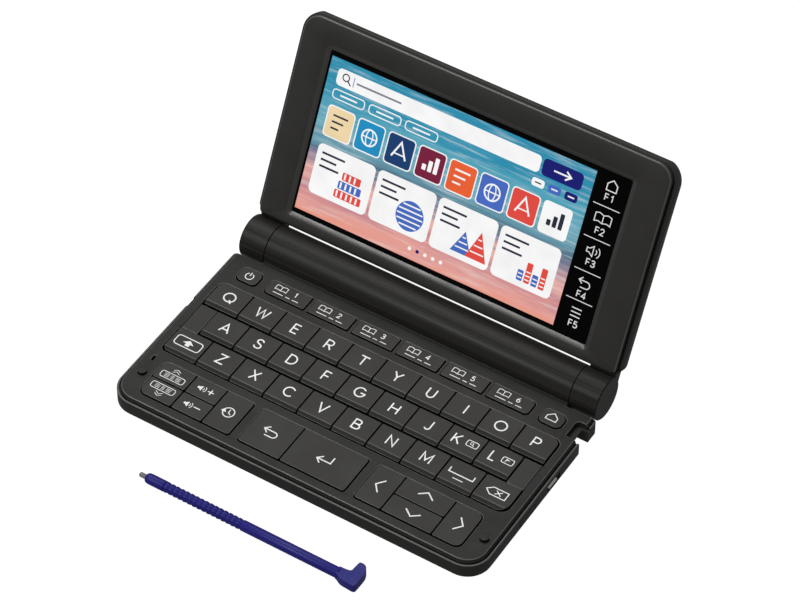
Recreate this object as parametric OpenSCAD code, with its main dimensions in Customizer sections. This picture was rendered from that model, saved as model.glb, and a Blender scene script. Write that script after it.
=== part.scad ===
// Clamshell electronic dictionary: key deck, barrel hinge, screen lid, stylus.
// Millimetres. X to the right, Y to the back, Z up. The origin is on the table,
// under the middle of the base. The lid is drawn open.

/* [Base] */
// Width of the lower case
case_w = 149.6; // [149:0.1:150]
// Distance from the origin to the front of the lower case
case_front = 48.2; // [48:0.1:48.6]
// Height of the key deck above the table
deck_z = 7.4; // [7.4:0.05:7.5]
// Height of the parting between the lower and the upper case
part_z = 6.2; // [6.15:0.05:6.2]
// Plan radius of the two front corners of the lower case
corner_r = 9; // [8.5:0.5:9.5]

/* [Barrel hinge] */
// Outer radius of the hinge barrel
barrel_r = 8.15; // [8.1:0.05:8.2]
// Height of the hinge axis above the table
axis_z = 8.25; // [8.25:0.05:8.35]
// Radius of the hinge pins
pin_r = 2.0; // [1.9:0.05:2.05]
// Running clearance of the pins in the lid knuckles
pin_clear = 0.05; // [0.03:0.01:0.08]

/* [Lid] */
// Width of the lid
lid_w = 150; // [149.5:0.1:150.5]
// Angle by which the lid stands open, counted from shut
lid_open = 116.03; // [95:0.01:140]
// Distance from the hinge axis to the far edge of the lid
lid_reach = 88.3; // [87.8:0.1:88.6]

/* [Keys] */
// Pitch of the letter keys from left to right
key_pitch = 13.97; // [13.9:0.01:14]
// Gap between neighbouring letter keys
key_gap = 0.6; // [0.45:0.05:0.7]
// Height of the key tops above the table
key_z = 7.9; // [7.8:0.05:8]

/* [Power and stylus] */
// Radius of one battery cell
cell_r = 7.1; // [6.9:0.05:7.1]
// Radius of the stylus shaft
stylus_r = 1.95; // [1.85:0.05:1.95]
// Radius of the channel that holds the stylus
slot_r = 2.05; // [2.05:0.01:2.1]

/* [Hidden] */
$fn = 64;
e = 0.01;
hw = case_w / 2;             // half width of the lower case
uw = hw - 1.15;              // half width of the upper case
lw = lid_w / 2;              // half width of the lid
floor0 = 0.4;                // underside of the floor
floor1 = 1.4;                // inside of the floor
rear_y = 31.25;              // back face of the case beside the knuckles
axis_y = 39.8;               // hinge axis, front to back
seam_x = 62.8;               // ends of the base's share of the barrel
knuckle_x0 = 63.1;           // lid knuckles
knuckle_x1 = 73.66;
barrel_in = 7.3;             // bore of the battery tube
plate_z = deck_z - 1.2;      // underside of the deck
key_z0 = key_z - 1.0;        // underside of the keys
key_g = key_gap / 2;
p = key_pitch;
row_yb = [15.4, 2.55, -10.3];            // back edges of the letter rows
slot_y = 22.2;               // stylus channel
slot_z = 2.9;
jack_y = 2.6;                // headphone socket
jack_z = 3.25;
screws = [[68.4, -42.4], [-68.4, -42.4], [68.4, -4.6], [-68.4, -4.6]];
feet = [[61.5, -38.5, 3.3], [-61.5, -38.5, 3.3], [58, 28.2, 3.3], [-58, 28.2, 3.3], [0, 0, 4]];
nubs = [[69.5, -34.7], [-69.2, -34.5]];

// lid levels, measured square to the screen from the hinge axis
face_h = -0.4;               // front of the bezel
glass_h = -1.15;             // bottom of the window bevel
rim_h = -2.9;                // front edge of the back cover
back_h = -7.95;              // back of the lid
lid_s0 = 9.05;               // lower edge of the lid

letters_1 = ["q", "w", "e", "r", "t", "y", "u", "i", "o", "p"];
letters_2 = ["a", "s", "d", "f", "g", "h", "j", "k", "l"];
letters_3 = ["shift", "z", "x", "c", "v", "b", "n", "m", "space", "delete"];
sm = 0.45;                   // usual key corner radius

// a key is [node, x0, x1, y0, y1, corner radii from front left, sloped front]
function key_row(names, yb, n0, first, last) = [
    for (i = [0:len(names) - 1])
        [str("key_", names[i]), (n0 + i) * p + key_g, (n0 + i + 1) * p - key_g,
         yb - 11.45, yb - 0.1,
         i == 0 ? first : i == len(names) - 1 ? last : [sm, sm, sm, sm], true]
];
main_keys = concat(
    key_row(letters_1, row_yb[0], -5, [sm, sm, sm, 2.5], [sm, sm, 2.5, sm]),
    key_row(letters_2, row_yb[1], -4.5, [sm, sm, sm, sm], [sm, sm, sm, sm]),
    key_row(letters_3, row_yb[2], -5, [1.8, sm, sm, sm], [sm, 3.7, sm, sm])
);
top_keys = concat(
    [["key_power", -66.8, -58.7, 19.4, 25.9, [1.8, 1.8, 1.8, 1.8], false]],
    [for (i = [0:5]) [str("key_func_", i + 1), -54.65 + 18.35 * i, -38.05 + 18.35 * i, 19.4, 25.9,
        i == 0 ? [1.5, sm, sm, 1.5] : i == 5 ? [sm, 1.5, 1.5, sm] : [sm, sm, sm, sm], false]],
    [["key_home", 57.5, 66.2, 19.4, 25.9, [2.2, 2.2, 2.2, 2.2], false]]
);
bottom_raw = [
    ["key_page_up", -65.0, -51.75, -34.43, -26.3, [sm, sm, sm, 2.6], false],
    ["key_page_down", -65.0, -51.75, -42.95, -34.77, [2.6, sm, sm, sm], false],
    ["key_volume_up", -51.4, -39.0, -34.43, -26.3, [sm, sm, sm, sm], false],
    ["key_volume_down", -51.4, -39.0, -42.95, -34.77, [sm, sm, sm, sm], false],
    ["key_history", -38.65, -27.65, -42.95, -26.3, [sm, 1, 1, sm], false],
    ["key_back", -24.1, -7.15, -42.95, -26.3, [1, sm, sm, 1], false],
    ["key_enter", -6.8, 19.1, -42.95, -26.3, [sm, 1, 1, sm], false],
    ["key_left", 22.9, 33.6, -42.95, -26.3, [1, sm, sm, 1], false],
    ["key_up", 33.95, 53.45, -34.43, -26.3, [sm, sm, sm, sm], false],
    ["key_down", 33.95, 53.45, -42.95, -34.77, [sm, sm, sm, sm], false],
    ["key_right", 53.8, 64.6, -42.95, -26.3, [sm, 2.6, 2.6, sm], false]
];
bottom_keys = [for (k = bottom_raw) [k[0], k[1] + 0.1, k[2] - 0.1, k[3] + 0.1, k[4] - 0.1, k[5], k[6]]];
KEYS = concat(top_keys, main_keys, bottom_keys);

case_col = [0.19, 0.185, 0.175];
lid_col = [0.2, 0.195, 0.19];
key_col = [0.27, 0.265, 0.26];

// ---- shared shapes ----

// rounded rectangle; r lists the radii of the front left, front right, back right, back left corners
module rr(x0, y0, x1, y1, r) {
    polygon([[x0 + r[0], y0], [x1 - r[1], y0], [x1, y0 + r[1]], [x1, y1 - r[2]],
             [x1 - r[2], y1], [x0 + r[3], y1], [x0, y1 - r[3]], [x0, y0 + r[0]]]);
    translate([x0 + r[0], y0 + r[0]]) circle(r[0]);
    translate([x1 - r[1], y0 + r[1]]) circle(r[1]);
    translate([x1 - r[2], y1 - r[2]]) circle(r[2]);
    translate([x0 + r[3], y1 - r[3]]) circle(r[3]);
}

// plate with that outline between two heights
module plate(x0, y0, x1, y1, r, z0, z1) {
    translate([0, 0, z0]) linear_extrude(z1 - z0) rr(x0, y0, x1, y1, r);
}

// edge profiles: [inset, height] from the lower face to the upper face
function edge(z0, z1, rb, rt) = concat(
    rb > 0 ? [for (i = [0:4]) [rb * (1 - sin(22.5 * i)), z0 + rb * (1 - cos(22.5 * i))]] : [[0, z0]],
    rt > 0 ? [for (i = [0:4]) [rt * (1 - cos(22.5 * i)), z1 - rt * (1 - sin(22.5 * i))]] : [[0, z1]]
);

module prism_x(xa, xb, pts) translate([xa, 0, 0]) rotate([90, 0, 90]) linear_extrude(xb - xa) polygon(pts);
module prism_y(ya, yb, pts) translate([0, yb, 0]) rotate([90, 0, 0]) linear_extrude(yb - ya) polygon(pts);

// quarter turn of the edge profile round a corner
module corner(cx, cy, r, a, prof) {
    n = len(prof);
    translate([cx, cy, 0]) rotate([0, 0, a]) rotate_extrude(angle = 90)
        polygon(concat([[0, prof[0][1]]], [for (q = prof) [r - q[0], q[1]]], [[0, prof[n - 1][1]]]));
}

// solid with a rounded plan and a shaped edge; rf and rb are the front and back corner radii
module body(x0, y0, x1, y1, rf, rb, prof) {
    n = len(prof);
    m = max(rf, rb);
    fy = [for (q = prof) [y0 + q[0], q[1]]];
    by = [for (i = [n - 1:-1:0]) [y1 - prof[i][0], prof[i][1]]];
    prism_x(x0 + m, x1 - m, concat(fy, by));
    prism_y(y0 + rf, y1 - rb,
        concat([for (q = prof) [x0 + q[0], q[1]]], [for (i = [n - 1:-1:0]) [x1 - prof[i][0], prof[i][1]]]));
    if (rb < rf)
        prism_x(x0 + rb, x1 - rb, concat([[y1 - rb - 1, prof[0][1]], [y1 - rb - 1, prof[n - 1][1]]], by));
    if (rf < rb)
        prism_x(x0 + rf, x1 - rf, concat(fy, [[y0 + rf + 1, prof[n - 1][1]], [y0 + rf + 1, prof[0][1]]]));
    corner(x0 + rf, y0 + rf, rf, 180, prof);
    corner(x1 - rf, y0 + rf, rf, 270, prof);
    corner(x1 - rb, y1 - rb, rb, 0, prof);
    corner(x0 + rb, y1 - rb, rb, 90, prof);
}

// cylinder along X on the hinge axis
module barrel(xa, xb, r) translate([xa, axis_y, axis_z]) rotate([0, 90, 0]) cylinder(r = r, h = xb - xa);
// cylinder along X anywhere
module rod(xa, xb, y, z, r) translate([xa, y, z]) rotate([0, 90, 0]) cylinder(r = r, h = xb - xa);
module box(x0, x1, y0, y1, z0, z1) translate([x0, y0, z0]) cube([x1 - x0, y1 - y0, z1 - z0]);
module both() { children(); mirror([1, 0, 0]) children(); }

// from the hinge axis: x across, y up the lid, z square to the screen
module on_lid() translate([0, axis_y, axis_z]) rotate([180 - lid_open, 0, 0]) children();

// ---- base ----

module hinge_block() {
    barrel(53.8, seam_x, 7.2);
    intersection() {
        barrel(53.8, seam_x, barrel_r);
        union() {
            box(53, 63, axis_y - 9, axis_y, 0, part_z);
            box(53, 63, axis_y, axis_y + 9, 0, axis_z - 0.05);
        }
    }
}

// notch for the stylus head: open below, with a shelf over the channel's mouth
module notch_lower() {
    translate([0, 0, -1]) linear_extrude(6) rr(70.3, 19, hw + 5, 25.3, [0.1, 0.1, 0.1, 0.1]);
    translate([0, 0, 4]) linear_extrude(4) rr(72.25, 19, hw + 5, 25.3, [0.1, 0.1, 0.1, 0.1]);
    translate([0, 0, 5.5]) linear_extrude(3) rr(69.5, 18.8, hw + 5, 26.7, [0.3, 0.1, 0.1, 1.8]);
}

module notch_upper() {
    translate([0, 0, 5.5]) linear_extrude(3) rr(69.5, 18.8, hw + 5, 26.7, [0.3, 0.1, 0.1, 1.8]);
}

module case_openings() {
    // data socket on the right
    box(hw - 3.5, hw + 1, -2.2, 6.2, 1.75, 4.3);
    // headphone socket on the left, dropped in from above
    rod(-hw - 1, -hw + 4, jack_y, jack_z, 2.3);
    box(-hw - 1, -hw + 4, jack_y - 2.3, jack_y + 2.3, jack_z, part_z + 1);
    // outline of the card door on the right
    difference() {
        box(hw - 0.3, hw + 1, -20.3, -10.3, 1.3, 4.3);
        box(hw - 1, hw + 2, -20.05, -10.55, 1.55, 4.05);
    }
}

module lower_case() color(case_col) difference() {
    union() {
        difference() {
            union() {
                body(-hw, -case_front, hw, rear_y, corner_r, 1.5, edge(floor0, part_z - 0.15, 0.3, 0.15));
                plate(-hw + 1.25, -case_front + 1.25, hw - 1.25, rear_y - 0.75,
                      [corner_r - 1.25, corner_r - 1.25, 1, 1], part_z - 1, part_z);
                // floor carried back under the barrel
                box(-seam_x, seam_x, rear_y - 1, 38, floor0, part_z);
            }
            // dark groove between the rim and the upper case
            difference() {
                plate(-hw + 0.7, -case_front + 0.7, hw - 0.7, rear_y - 0.3,
                      [corner_r - 0.7, corner_r - 0.7, 1.2, 1.2], part_z - 0.9, part_z + 1);
                plate(-hw + 1.25, -case_front + 1.25, hw - 1.25, rear_y - 0.75,
                      [corner_r - 1.25, corner_r - 1.25, 1, 1], part_z - 2, part_z + 2);
                box(-seam_x, seam_x, rear_y - 1, 38, part_z - 2, part_z + 2);
            }
            plate(-hw + 2.4, -case_front + 2.4, hw - 2.4, rear_y - 1.8,
                  [corner_r - 2.4, corner_r - 2.4, 1, 1], floor1, part_z + 1);
            difference() {
                box(-61.2, 61.2, rear_y - 3, 37, floor1, part_z + 1);
                barrel(-70, 70, barrel_r - 0.3);
            }
            barrel(-seam_x - 1, seam_x + 1, barrel_in);
        }
        // front lower quarter of the battery tube
        intersection() {
            difference() {
                barrel(-seam_x, seam_x, barrel_r);
                barrel(-seam_x - 1, seam_x + 1, barrel_in);
            }
            box(-64, 64, axis_y - 9, axis_y, 0, part_z);
        }
        both() hinge_block();
        // stylus channel, open along its top
        box(-14, 70.4, 19.2, 25.2, floor1 - e, 5);
        // walls round the notch
        plate(68.6, 16.8, hw - 1.3, 30, [0.5, 0.5, 0.5, 0.5], floor1 - e, part_z);
    }
    notch_lower();
    rod(-12, 71, slot_y, slot_z, slot_r);
    box(-12, 66, slot_y - 1.1, slot_y + 1.1, slot_z + 1.5, part_z + 1);
    case_openings();
    both() barrel(55.8, 64, pin_r + 0.02);
    // contact slots in the tube wall
    both() box(51.8, 54, axis_y - 9, axis_y - 4, 2.4, 7.2);
    for (s = screws) {
        translate([s[0], s[1], -1]) cylinder(r = 1, h = 4);
        translate([s[0], s[1], -1]) cylinder(r = 1.75, h = 1 + floor0 + 0.5);
    }
    for (f = feet) translate([f[0], f[1], -1]) cylinder(r = f[2] + 0.1, h = 1 + floor0 + 0.3);
    // sound slots under the speaker
    for (i = [-2:2]) translate([0, 0, -1])
        linear_extrude(4) rr(-49, -34.45 + 2.4 * i, -39, -33.55 + 2.4 * i, [0.4, 0.4, 0.4, 0.4]);
}

module main_opening() {
    rr(-70.15, 2.75, 70.15, 15.75, [0.3, 0.3, 2.9, 2.9]);
    translate([-63.1, -11]) square([126.2, 15]);
    rr(-70.15, -22.5, 70.15, -9.95, [2.2, 4, 0.3, 0.3]);
}

module deck_openings() translate([0, 0, plate_z - 0.5]) linear_extrude(3) {
    main_opening();
    for (k = top_keys)
        rr(k[1] - 0.4, k[3] - 0.4, k[2] + 0.4, k[4] + 0.4, [for (r = k[5]) r + 0.35]);
    rr(-65.3, -43.25, -27.35, -26.0, [2.9, 1.3, 1.3, 2.9]);
    rr(-24.4, -43.25, 19.4, -26.0, [1.3, 1.3, 1.3, 1.3]);
    rr(22.6, -43.25, 64.9, -26.0, [1.3, 2.9, 2.9, 1.3]);
}

module upper_case() color(case_col) difference() {
    union() {
        body(-uw, -case_front + 1.15, uw, rear_y - 0.4, corner_r - 1.15, 1.5, [[0, part_z], [0.6, deck_z]]);
        difference() {
            union() {
                barrel(-seam_x, seam_x, barrel_r);
                box(-seam_x, seam_x, rear_y - 1.2, 33.4, part_z, deck_z);
            }
            barrel(-seam_x - 1, seam_x + 1, barrel_in);
            box(-64, 64, rear_y - 2, axis_y + 9, -1, part_z);
            box(-64, 64, axis_y, axis_y + 9, -1, axis_z);
        }
        for (s = screws) translate([s[0], s[1], floor1 + 0.05]) cylinder(r = 2.2, h = plate_z - floor1);
    }
    deck_openings();
    notch_upper();
    for (s = screws) translate([s[0], s[1], 0]) cylinder(r = 0.85, h = 5.4);
    for (n = nubs) translate([n[0], n[1], deck_z - 0.4]) cylinder(r = 1.75, h = 2);
    // outlines of the blank panels beside the middle row
    both() box(69.6, 69.95, -9.96, 2.76, deck_z - 0.8, deck_z + 1);
    // microphone slot
    translate([0, 0, 5]) linear_extrude(4) rr(-70, -28.6, -69, -25.8, [0.48, 0.48, 0.48, 0.48]);
}

module battery_cover() color(case_col) difference() {
    intersection() {
        difference() {
            barrel(-53.6, 53.6, barrel_r);
            barrel(-54, 54, 7.35);
            // thumb grooves
            for (i = [0:5]) translate([0, axis_y, axis_z]) rotate([-14 - 7 * i, 0, 0])
                box(-9, 9, barrel_r - 0.3, barrel_r + 1, -0.25, 0.25);
        }
        box(-54, 54, axis_y + 0.1, axis_y + 9, 0, axis_z - 0.13);
    }
}

module battery_cells() for (x = [-50.2, -0.1]) {
    color([0.2, 0.35, 0.3]) rod(x, x + 49, axis_y, axis_z, cell_r);
    color("silver") rod(x + 49 - e, x + 50, axis_y, axis_z, 2.7);
}

module main_board() {
    color([0.05, 0.3, 0.15]) {
        box(-65.9, 65.9, -45, 26.5, 5.35, 5.9);
        box(-65.9, -60, -0.3, 5.5, 5.2, 5.4);
    }
    color([0.12, 0.12, 0.12]) {
        box(-22, -8, -14, 0, 4.1, 5.36);
        box(2, 14, -8, 4, 4.3, 5.36);
        box(26, 36, -30, -20, 4.3, 5.36);
        box(-44, -36, 4, 10, 4.3, 5.36);
        // headphone socket
        difference() {
            union() {
                box(-71.9, -60, jack_y - 2.9, jack_y + 2.9, 1.6, 5.3);
                rod(-74.4, -71.8, jack_y, jack_z, 2.25);
                box(-74.4, -71.8, jack_y - 2.25, jack_y + 2.25, jack_z, part_z - 0.2);
            }
            rod(-76, -61.5, jack_y, jack_z, 1.8);
        }
        // tongue of the data socket
        box(66.4, 73.4, -0.4, 4.4, 2.85, 3.35);
    }
    color("silver") {
        difference() {
            box(65.8, 74.3, -1.9, 5.9, 1.95, 4.1);
            box(66.5, 75, -1.6, 5.6, 2.2, 3.85);
        }
        // bright lower lip
        box(73.6, 74.65, -0.6, 4.6, 1.95, 2.25);
        box(65.3, 66.3, -1.9, 5.9, 3.9, 5.4);
    }
    // speaker
    color([0.15, 0.15, 0.15]) translate([-44, -34, 1.5]) cylinder(r = 8, h = 3.2);
}

module key_membrane() color([0.55, 0.55, 0.55]) {
    box(-65.9, 65.9, -44.5, 27, 5.91, 6.15);
    for (k = KEYS) translate([(k[1] + k[2]) / 2, (k[3] + k[4]) / 2, 6.14])
        cylinder(r1 = 2.2, r2 = 1.6, h = key_z0 - 6.14);
}

module rubber_pads() color([0.1, 0.1, 0.1]) {
    for (f = feet) translate([f[0], f[1], 0]) cylinder(r = f[2], h = floor0 + 0.3);
    for (n = nubs) translate([n[0], n[1], deck_z - 0.4]) rotate_extrude()
        polygon([[0, 0], [1.7, 0], [1.7, 1.25], [1.6, 1.37], [1.4, 1.4], [0, 1.4]]);
}

module steel_fittings() color("silver") {
    both() barrel(56, 71, pin_r);
    for (s = screws) translate([s[0], s[1], 0]) {
        difference() {
            translate([0, 0, 0.43]) cylinder(r = 1.6, h = 0.46);
            box(-1.1, 1.1, -0.2, 0.2, 0, 0.65);
            box(-0.2, 0.2, -1.1, 1.1, 0, 0.65);
        }
        translate([0, 0, 0.88]) cylinder(r = 0.8, h = 4.3);
    }
    // battery contacts
    for (x = [-53.2, 52.6]) {
        rod(x, x + 0.6, axis_y, axis_z, 6.8);
        box(x, x + 0.6, 26.6, axis_y - 4, 3.4, 4.6);
    }
    rod(-52.7, -50.25, axis_y, axis_z, 2.6);
    rod(49.95, 52.7, axis_y, axis_z, 2.2);
}

// ---- lid ----

module lid_cover() color(lid_col) on_lid() difference() {
    union() {
        difference() {
            body(-lw, lid_s0, lw, lid_reach, 3, 8, edge(back_h, rim_h, 2.2, 0.5));
            // the far edge is rounded more at the back
            prism_x(-lw - 1, lw + 1, concat(
                [for (i = [0:6]) [lid_reach - 3.8 + 3.8 * sin(15 * i), back_h + 3.8 - 3.8 * cos(15 * i)]],
                [[lid_reach + 1, back_h + 3.8], [lid_reach + 1, back_h - 1], [lid_reach - 3.8, back_h - 1]]));
            plate(-lw + 1.5, lid_s0 + 1.2, lw - 1.5, lid_reach - 1.4,
                  [1.8, 1.8, 6.5, 6.5], back_h + 2.9, rim_h + 1);
            plate(-lw + 3, lid_s0 + 2.6, lw - 3, lid_reach - 5.6,
                  [2, 2, 5, 5], back_h + 1.2, rim_h + 1);
        }
        both() {
            barrel_knuckle();
            box(knuckle_x0, 73.2, 0, lid_s0 + 1, -7, rim_h - 0.1);
        }
    }
    // pin bores
    both() rod(knuckle_x0 - 1, 71.5, 0, 0, pin_r + pin_clear);
}

// end of the barrel that turns with the lid, about the lid's own axis
module barrel_knuckle() translate([knuckle_x0, 0, 0]) rotate([0, 90, 0]) rotate_extrude()
    polygon([[0, 0], [barrel_r, 0], [barrel_r, knuckle_x1 - knuckle_x0 - 0.4],
             [barrel_r - 0.4, knuckle_x1 - knuckle_x0], [0, knuckle_x1 - knuckle_x0]]);

module lid_bezel() color(lid_col) on_lid() difference() {
    union() {
        body(-lw + 1.8, lid_s0 + 0.1, lw - 1.8, lid_reach - 0.55, 2, 6.4, edge(rim_h + 0.2, face_h, 0, 0.6));
        // lip inside the cover
        plate(-lw + 1.9, lid_s0 + 1.5, lw - 1.9, lid_reach - 1.7, [1.6, 1.6, 6, 6], rim_h - 1.3, rim_h + 0.3);
    }
    plate(-lw + 3.4, lid_s0 + 3, lw - 3.4, lid_reach - 3.2, [1, 1, 4.6, 4.6], rim_h - 2, -1.9);
    // seat of the display
    plate(-64.3, 11.75, 63.3, 80.8, [1, 1, 1, 1], -3, glass_h);
    // window with its bevel
    body(-62.75, 12.95, 61.75, 79.4, 2.6, 2.6, [[1.75, -2], [1.75, glass_h], [0, face_h], [0, 1]]);
}

module display_panel() color([0.03, 0.03, 0.035]) on_lid() {
    box(-64, 63, 12, 80.5, -3.4, -1.2);
    // driver board on the back of the panel
    box(-40, 40, 20, 44, -4.4, -3.39);
}

// ---- stylus, lying in front of the base ----

module stylus() color([0.2, 0.17, 0.5]) {
    translate([0, -69.3, stylus_r]) rotate([0, 90, 0]) rotate_extrude() polygon(concat(
        [[0, -46.2], [0.55, -46.1], [0.84, -45.8], [0.9, -45.4], [0.9, -43.4], [1.25, -43.35],
         [1.65, -43.0], [1.9, -42.4], [stylus_r, -41.6], [stylus_r, -35.65], [1.6, -35.55]],
        [for (i = [0:15], j = [0, 1]) [j == 0 ? stylus_r : stylus_r - 0.33, -35.3 + 1.95 * i + 1.8 * j]],
        [[stylus_r, -4.05], [stylus_r, 34.6], [0, 34.6]]));
    translate([0, 0, 0.05]) linear_extrude(3.5)
        polygon([[34, -70.82], [35.4, -71.62], [37.2, -72.1], [41.2, -72.42], [42, -72.18], [42.35, -71.3],
                 [42.4, -66.23], [41.8, -64.19], [40.9, -62.88], [40, -62.46], [38.6, -62.46], [38.1, -63.07],
                 [37.9, -66.6], [37.4, -67.35], [34, -67.53]]);
}

// ---- keys ----

module key(k) color(key_col) intersection() {
    plate(k[1], k[3], k[2], k[4], k[5], key_z0, key_z);
    if (k[6])
        prism_x(k[1] - 1, k[2] + 1, [[k[3], key_z0 - 1], [k[4] + 1, key_z0 - 1], [k[4] + 1, key_z + 1],
                                     [k[3] + 1.4, key_z + 1], [k[3] + 1.4, key_z], [k[3], key_z0 + 0.25]]);
    else
        box(k[1] - 1, k[2] + 1, k[3] - 1, k[4] + 1, key_z0 - 1, key_z + 1);
}

lower_case();
upper_case();
battery_cover();
battery_cells();
main_board();
key_membrane();
rubber_pads();
steel_fittings();
lid_bezel();
lid_cover();
display_panel();
stylus();
for (k = KEYS) key(k);
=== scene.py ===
"""Looks of the clamshell electronic dictionary: finishes, key legends, screen picture, stylus, light and camera."""
import math
import bpy
from mathutils import Matrix, Vector


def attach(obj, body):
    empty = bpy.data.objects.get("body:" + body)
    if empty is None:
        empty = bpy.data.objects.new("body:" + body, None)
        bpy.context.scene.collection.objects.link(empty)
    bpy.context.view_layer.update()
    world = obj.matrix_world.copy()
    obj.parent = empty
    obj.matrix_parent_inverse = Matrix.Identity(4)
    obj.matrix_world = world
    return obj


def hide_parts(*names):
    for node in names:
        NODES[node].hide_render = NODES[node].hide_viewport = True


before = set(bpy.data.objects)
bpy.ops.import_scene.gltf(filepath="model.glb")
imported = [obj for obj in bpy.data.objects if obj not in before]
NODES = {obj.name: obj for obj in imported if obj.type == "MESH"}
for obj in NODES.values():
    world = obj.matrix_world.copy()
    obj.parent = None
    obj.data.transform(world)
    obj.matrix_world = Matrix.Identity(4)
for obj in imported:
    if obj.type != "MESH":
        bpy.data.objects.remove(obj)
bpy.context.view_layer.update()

MM = 0.001
P = 13.97                      # letter key pitch
KEY_TOP = 7.9                  # height of the key tops
TH = math.radians(63.97)       # lean of the screen from level
AXIS_Y, AXIS_Z = 39.8, 8.25


# ---------------------------------------------------------------- mapping
def flat(x, y, z):
    return (x * MM, y * MM, z * MM)


def lid(x, s, h):
    """x across, s up the lid from the hinge axis, h square to the screen."""
    return (x * MM, (AXIS_Y + s * math.cos(TH) - h * math.sin(TH)) * MM,
            (AXIS_Z + s * math.sin(TH) + h * math.cos(TH)) * MM)


# ---------------------------------------------------------------- mesh tools
class Build:
    def __init__(self, place):
        self.place, self.v, self.f, self.m = place, [], [], []

    def add(self, pts, faces, mat=0):
        n = len(self.v)
        self.v += [self.place(*q) for q in pts]
        for face in faces:
            self.f.append([n + i for i in face])
            self.m.append(mat)

    def prism(self, poly, z0, z1, mat=0):
        """Closed prism on a counter-clockwise outline."""
        n = len(poly)
        pts = [(x, y, z0) for x, y in poly] + [(x, y, z1) for x, y in poly]
        faces = [list(range(n))[::-1], list(range(n, 2 * n))]
        faces += [[i, (i + 1) % n, n + (i + 1) % n, n + i] for i in range(n)]
        self.add(pts, faces, mat)

    def stroke(self, pts, w, z0, z1, closed=False, mat=0):
        """Closed ribbon of width w along a line, with mitred turns."""
        n = len(pts)
        left, right = [], []
        for i in range(n):
            a = Vector(pts[(i - 1) % n]) if closed or i > 0 else None
            b = Vector(pts[i])
            c = Vector(pts[(i + 1) % n]) if closed or i < n - 1 else None
            d0 = (b - a).normalized() if a is not None else None
            d1 = (c - b).normalized() if c is not None else None
            if d0 is None:
                d0 = d1
            if d1 is None:
                d1 = d0
            t = (d0 + d1)
            t = t.normalized() if t.length > 1e-6 else d1
            nrm = Vector((-t.y, t.x))
            k = max(0.45, nrm.dot(Vector((-d1.y, d1.x))))
            left.append(b + nrm * (w / 2 / k))
            right.append(b - nrm * (w / 2 / k))
        v = []
        for i in range(n):
            v += [(left[i].x, left[i].y, z0), (right[i].x, right[i].y, z0),
                  (left[i].x, left[i].y, z1), (right[i].x, right[i].y, z1)]
        f = []
        for i in range(n if closed else n - 1):
            a, b = 4 * i, 4 * ((i + 1) % n)
            f += [[a + 2, a + 3, b + 3, b + 2], [a, b, b + 1, a + 1],
                  [a, a + 2, b + 2, b], [a + 1, b + 1, b + 3, a + 3]]
        if not closed:
            e = 4 * (n - 1)
            f += [[0, 1, 3, 2], [e, e + 2, e + 3, e + 1]]
        self.add(v, f, mat)

    def make(self, name, body, mats, smooth=False):
        me = bpy.data.meshes.new(name)
        me.from_pydata(self.v, [], self.f)
        for m in mats:
            me.materials.append(m)
        me.polygons.foreach_set("material_index", self.m)
        me.polygons.foreach_set("use_smooth", [smooth] * len(self.f))
        me.update()
        o = bpy.data.objects.new(name, me)
        bpy.context.scene.collection.objects.link(o)
        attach(o, body)
        return o


def arc(cx, cy, rx, ry, a0, a1, n=18):
    return [(cx + rx * math.cos(math.radians(a0 + (a1 - a0) * i / n)),
             cy + ry * math.sin(math.radians(a0 + (a1 - a0) * i / n))) for i in range(n + 1)]


def ring(cx, cy, rx, ry, n=36):
    return arc(cx, cy, rx, ry, 0, 360 * (n - 1) / n, n - 1)


def round_rect(x0, y0, x1, y1, r, n=6):
    r = min(r, (x1 - x0) / 2 - 1e-4, (y1 - y0) / 2 - 1e-4)
    return (arc(x1 - r, y0 + r, r, r, -90, 0, n) + arc(x1 - r, y1 - r, r, r, 0, 90, n)
            + arc(x0 + r, y1 - r, r, r, 90, 180, n) + arc(x0 + r, y0 + r, r, r, 180, 270, n))


def smooth_line(pts, n=5):
    out = []
    for i in range(len(pts) - 1):
        p0, p1 = pts[max(i - 1, 0)], pts[i]
        p2, p3 = pts[i + 1], pts[min(i + 2, len(pts) - 1)]
        for k in range(n):
            t = k / n
            out.append(tuple(0.5 * (2 * p1[j] + (p2[j] - p0[j]) * t
                                    + (2 * p0[j] - 5 * p1[j] + 4 * p2[j] - p3[j]) * t * t
                                    + (3 * p1[j] - p0[j] - 3 * p2[j] + p3[j]) * t ** 3) for j in (0, 1)))
    return out + [pts[-1]]


# ---------------------------------------------------------------- materials
def new_mat(name):
    m = bpy.data.materials.new(name)
    m.use_nodes = True
    nt = m.node_tree
    return m, nt, nt.nodes["Principled BSDF"]


def srgb(r, g, b):
    def lin(c):
        c /= 255
        return c / 12.92 if c <= 0.04045 else ((c + 0.055) / 1.055) ** 2.4
    return (lin(r), lin(g), lin(b), 1)


def within(nt, sep, axis, lo, hi, absolute=False):
    """1 where a coordinate of the object lies between two values."""
    src = sep.outputs[axis]
    if absolute:
        ab = nt.nodes.new("ShaderNodeMath")
        ab.operation = "ABSOLUTE"
        nt.links.new(src, ab.inputs[0])
        src = ab.outputs[0]
    out = []
    for op, v in (("GREATER_THAN", lo), ("LESS_THAN", hi)):
        m = nt.nodes.new("ShaderNodeMath")
        m.operation = op
        m.inputs[1].default_value = v * MM
        nt.links.new(src, m.inputs[0])
        out.append(m.outputs[0])
    return times(nt, *out)


def times(nt, a, b):
    m = nt.nodes.new("ShaderNodeMath")
    m.operation = "MULTIPLY"
    nt.links.new(a, m.inputs[0])
    nt.links.new(b, m.inputs[1])
    return m.outputs[0]


KEY_TONE = srgb(56, 55, 53)
BARREL_TONE = srgb(40, 39, 37)


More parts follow.
